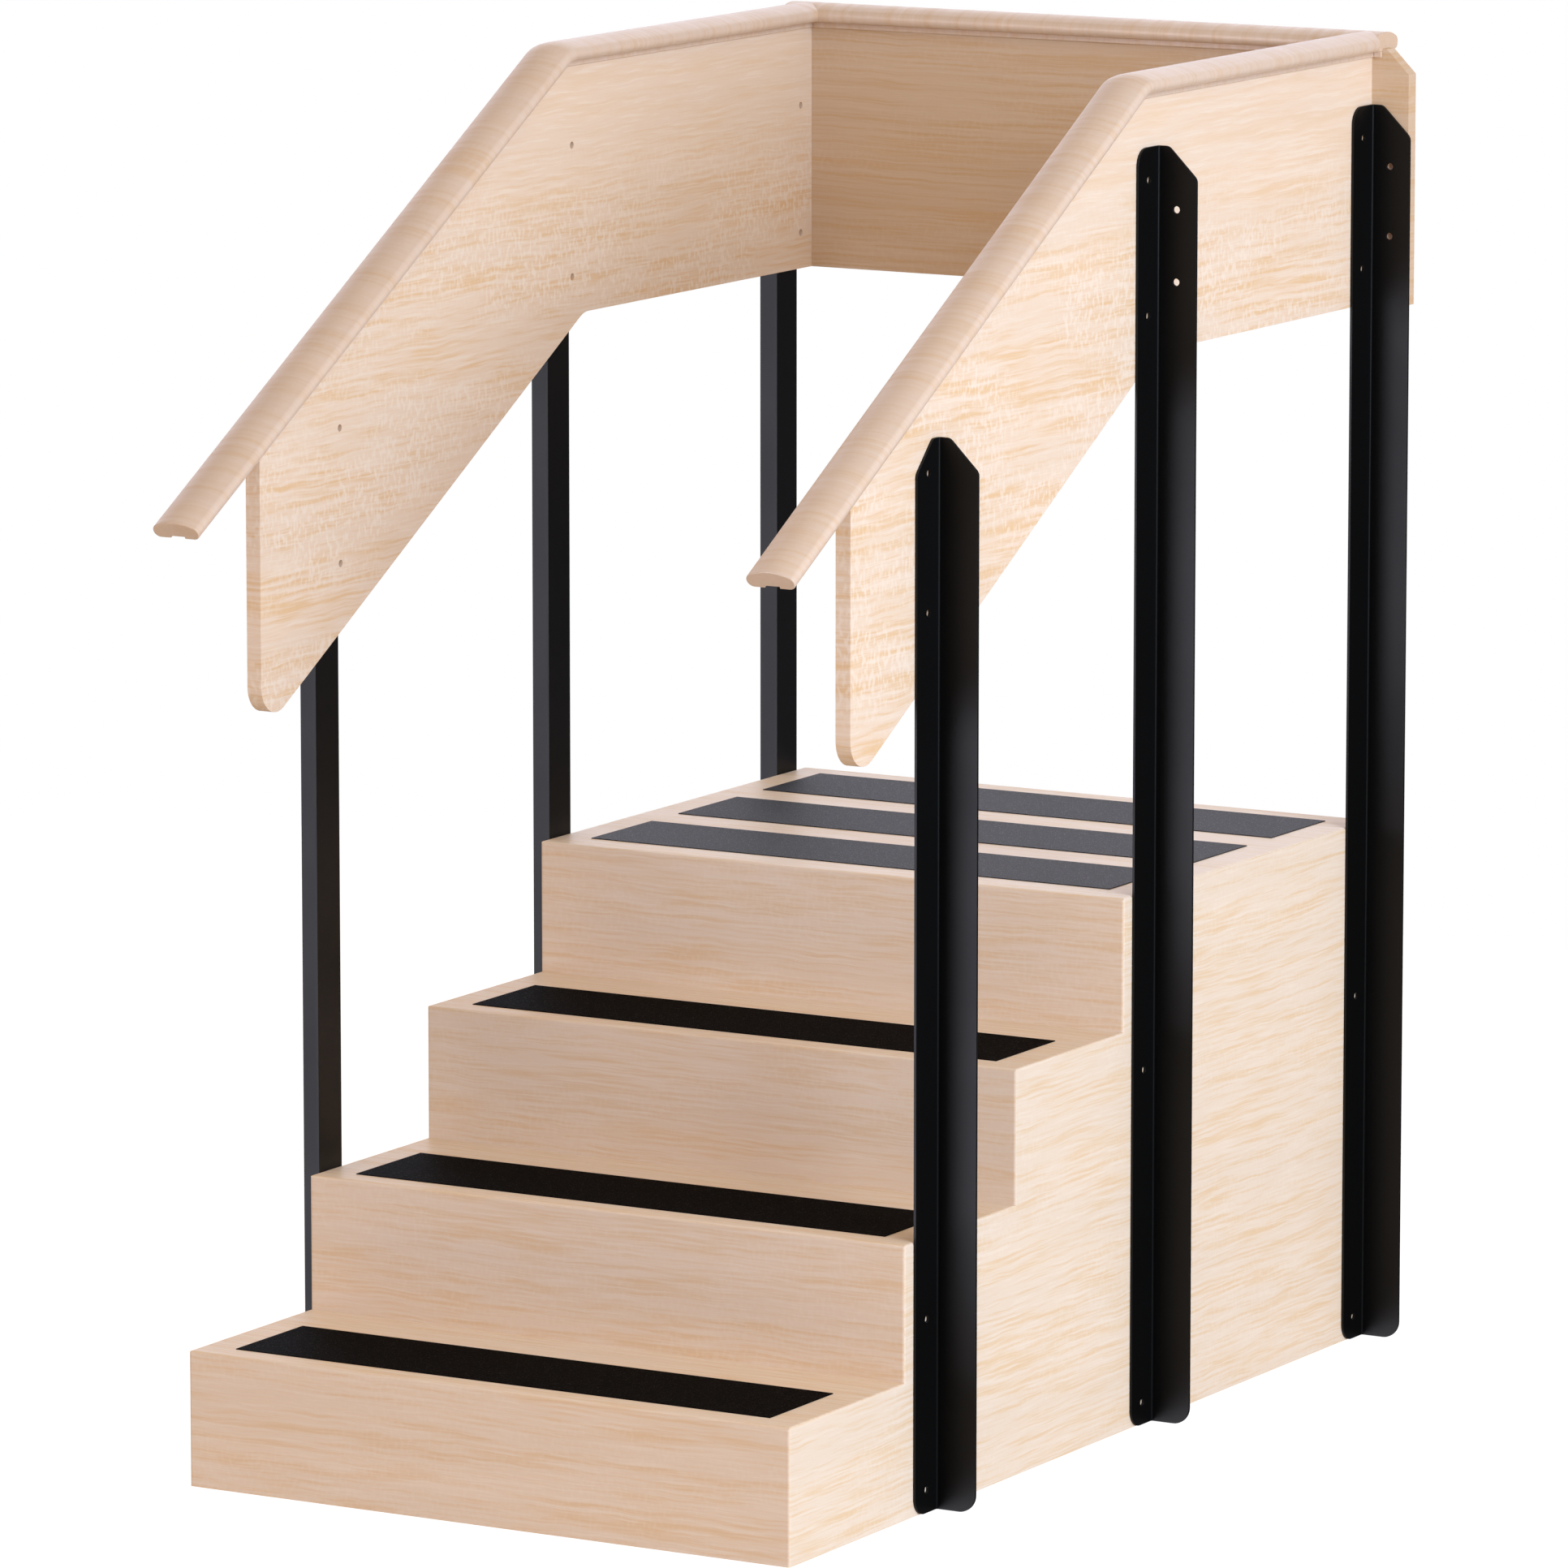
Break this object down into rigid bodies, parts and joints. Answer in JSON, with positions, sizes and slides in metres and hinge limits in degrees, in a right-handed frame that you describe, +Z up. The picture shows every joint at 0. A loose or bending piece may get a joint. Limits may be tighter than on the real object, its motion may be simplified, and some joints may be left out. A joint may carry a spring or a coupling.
{
  "type": "free-standing timber training staircase",
  "caption": "Free-standing one-sided timber staircase: a hollow box of veneered boards with treads, a platform, grip strips, bent steel posts, rail panels and rounded handrails.",
  "frame": {"origin": "on the floor, at the centre of the whole object's box in X and Y", "axes": "+Z up, +Y from the first step towards the platform's back, +X to the right of someone going up"},
  "size_m": [0.85, 1.3886, 1.507],
  "materials": {
    "veneer": "light birch veneer, satin lacquer",
    "handrail": "light birch, satin lacquer",
    "post": "satin black powder coat",
    "grip": "fine black grit"
  },
  "bodies": {
    "root": {"left_cheek": "veneer", "right_cheek": "veneer", "back_board": "veneer", "riser_1": "veneer", "riser_2": "veneer", "riser_3": "veneer", "riser_4": "veneer", "tread_1": "veneer", "tread_2": "veneer", "tread_3": "veneer", "platform": "veneer", "left_rail_panel": "veneer", "right_rail_panel": "veneer", "back_rail_panel": "veneer", "left_slope_handrail": "handrail", "left_level_handrail": "handrail", "right_slope_handrail": "handrail", "right_level_handrail": "handrail", "back_handrail": "handrail", "left_bead": "handrail", "right_bead": "handrail", "back_bead": "handrail", "left_front_post": "post", "left_middle_post": "post", "left_rear_post": "post", "right_front_post": "post", "right_middle_post": "post", "right_rear_post": "post", "tread_grip_1": "grip", "tread_grip_2": "grip", "tread_grip_3": "grip", "platform_grip_front": "grip", "platform_grip_middle": "grip", "platform_grip_rear": "grip"}
  },
  "joints": []
}
